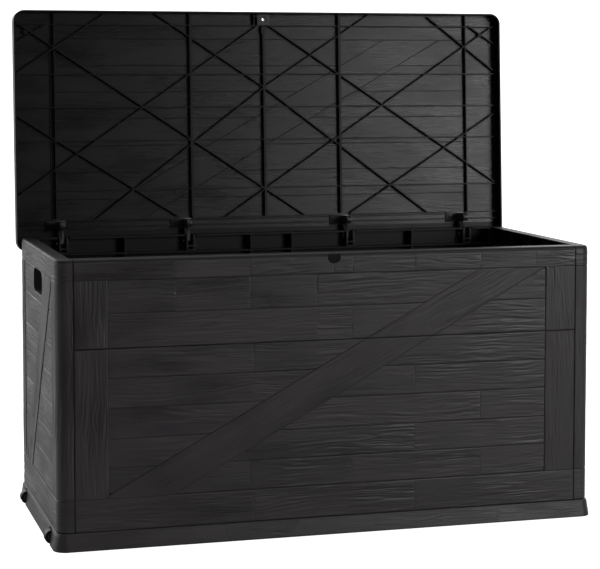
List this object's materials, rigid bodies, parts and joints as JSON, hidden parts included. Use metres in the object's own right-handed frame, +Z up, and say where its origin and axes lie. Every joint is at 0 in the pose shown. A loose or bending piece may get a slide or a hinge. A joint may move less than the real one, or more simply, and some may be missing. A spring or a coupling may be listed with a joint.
{
  "type": "deck storage box",
  "caption": "Rectangular outdoor storage box of wood-effect resin panels on a base tray with rollers at one end, with a ribbed hinged lid shown open.",
  "frame": {"origin": "on the ground, under the middle of the box's base tray", "axes": "+X along the long walls to the right as seen from the front, +Y to the back where the lid is hinged, +Z up"},
  "size_m": [1.198, 0.5999, 1.1173],
  "materials": {
    "wall_panels": "anthracite wood-grain embossed resin, satin",
    "base": "anthracite wood-grain embossed resin, satin",
    "lid": "anthracite resin, wood-grain on top, satin moulded ribs below",
    "hinge_plastic": "smooth moulded resin",
    "pin_steel": "plain zinc-plated steel rod",
    "screw_steel": "black zinc",
    "roller": "black hard plastic"
  },
  "bodies": {
    "box": {"front_lower_panel": "wall_panels", "front_upper_panel": "wall_panels", "back_lower_panel": "wall_panels", "back_upper_panel": "wall_panels", "left_side_panel": "wall_panels", "right_side_panel": "wall_panels", "base_tray": "base", "hinge_bracket_1": "hinge_plastic", "hinge_bracket_2": "hinge_plastic", "hinge_bracket_3": "hinge_plastic", "hinge_bracket_4": "hinge_plastic", "hinge_pins": "pin_steel", "front_axle": "pin_steel", "rear_axle": "pin_steel", "bracket_screws": "screw_steel"},
    "lid": {"lid_shell": "lid", "lid_arm_1": "hinge_plastic", "lid_arm_2": "hinge_plastic", "lid_arm_3": "hinge_plastic", "lid_arm_4": "hinge_plastic", "arm_screws": "screw_steel"},
    "front_wheel": {"front_roller": "roller"},
    "rear_wheel": {"rear_roller": "roller"}
  },
  "joints": [
    {"name": "lid_hinge", "type": "hinge", "parent": "box", "child": "lid", "pos_m": [0, 0.265, 0.58], "axis": [1, 0, 0], "range_deg": [0, 93]},
    {"name": "front_wheel_spin", "type": "hinge", "parent": "box", "child": "front_wheel", "pos_m": [-0.589, -0.187, 0.016], "axis": [0, 1, 0], "continuous": true},
    {"name": "rear_wheel_spin", "type": "hinge", "parent": "box", "child": "rear_wheel", "pos_m": [-0.589, 0.187, 0.016], "axis": [0, 1, 0], "continuous": true}
  ]
}
